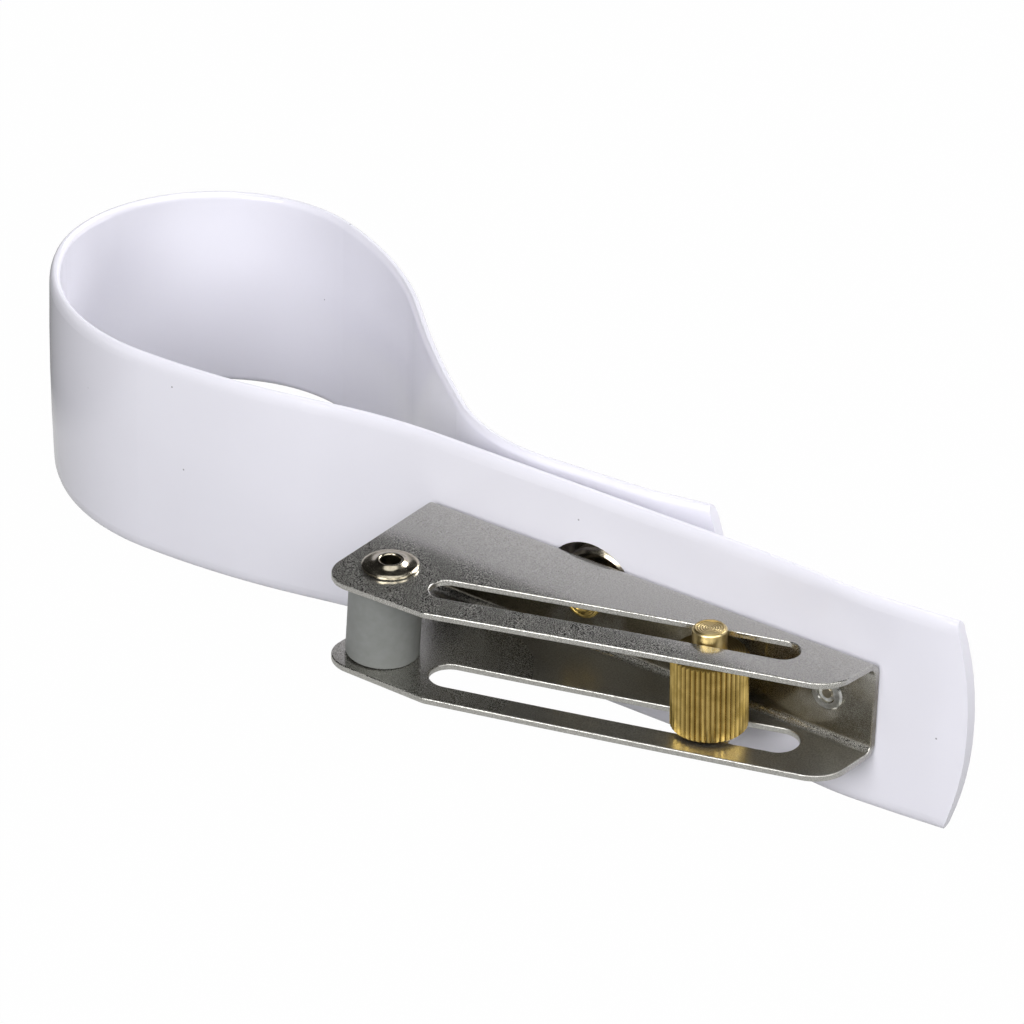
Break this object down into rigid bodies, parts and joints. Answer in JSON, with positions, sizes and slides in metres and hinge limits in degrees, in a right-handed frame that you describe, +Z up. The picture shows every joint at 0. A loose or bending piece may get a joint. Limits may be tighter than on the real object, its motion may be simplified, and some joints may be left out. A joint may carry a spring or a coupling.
{
  "type": "fender hanger",
  "caption": "White strap that loops round a rail and snaps shut, with a folded steel channel whose sliding knurled roller and loose guide roller grip a fender line",
  "frame": {"origin": "middle of the footprint, at the strap's lower edge", "axes": "+X along the channel's web to the strap's front tip, +Y from the channel to the rear leg, +Z up along the rail's axis"},
  "size_m": [0.2188, 0.0978, 0.0413],
  "materials": {
    "strap_vinyl": "smooth white vinyl with a soft sheen",
    "sheet_steel": "tumbled grey sheet, slightly stained inside",
    "turned_brass": "turned and knurled, bright",
    "plated_steel": "plated, satin",
    "grey_nylon": "moulded grey, matte"
  },
  "bodies": {
    "hanger": {"strap": "strap_vinyl", "bracket": "sheet_steel", "roller_rivet": "plated_steel", "web_rivets": "plated_steel", "web_rivet_mandrels": "plated_steel", "web_rivet_washers": "plated_steel", "snap_eyelet": "turned_brass", "snap_stud": "plated_steel", "snap_socket": "plated_steel", "snap_cap": "plated_steel"},
    "knurled": {"brass_roller": "turned_brass"},
    "guide": {"spacer_roller": "grey_nylon"}
  },
  "joints": [
    {"name": "roller_slide", "type": "slide", "parent": "hanger", "child": "knurled", "axis": [0.9558, 0.2939, -0.0078], "range_m": [-0.0468, 0.0095]},
    {"name": "guide_spin", "type": "hinge", "parent": "hanger", "child": "guide", "pos_m": [0.0059, -0.04025, 0.0199], "axis": [0.0496, 0.008, 0.9987], "continuous": true}
  ]
}
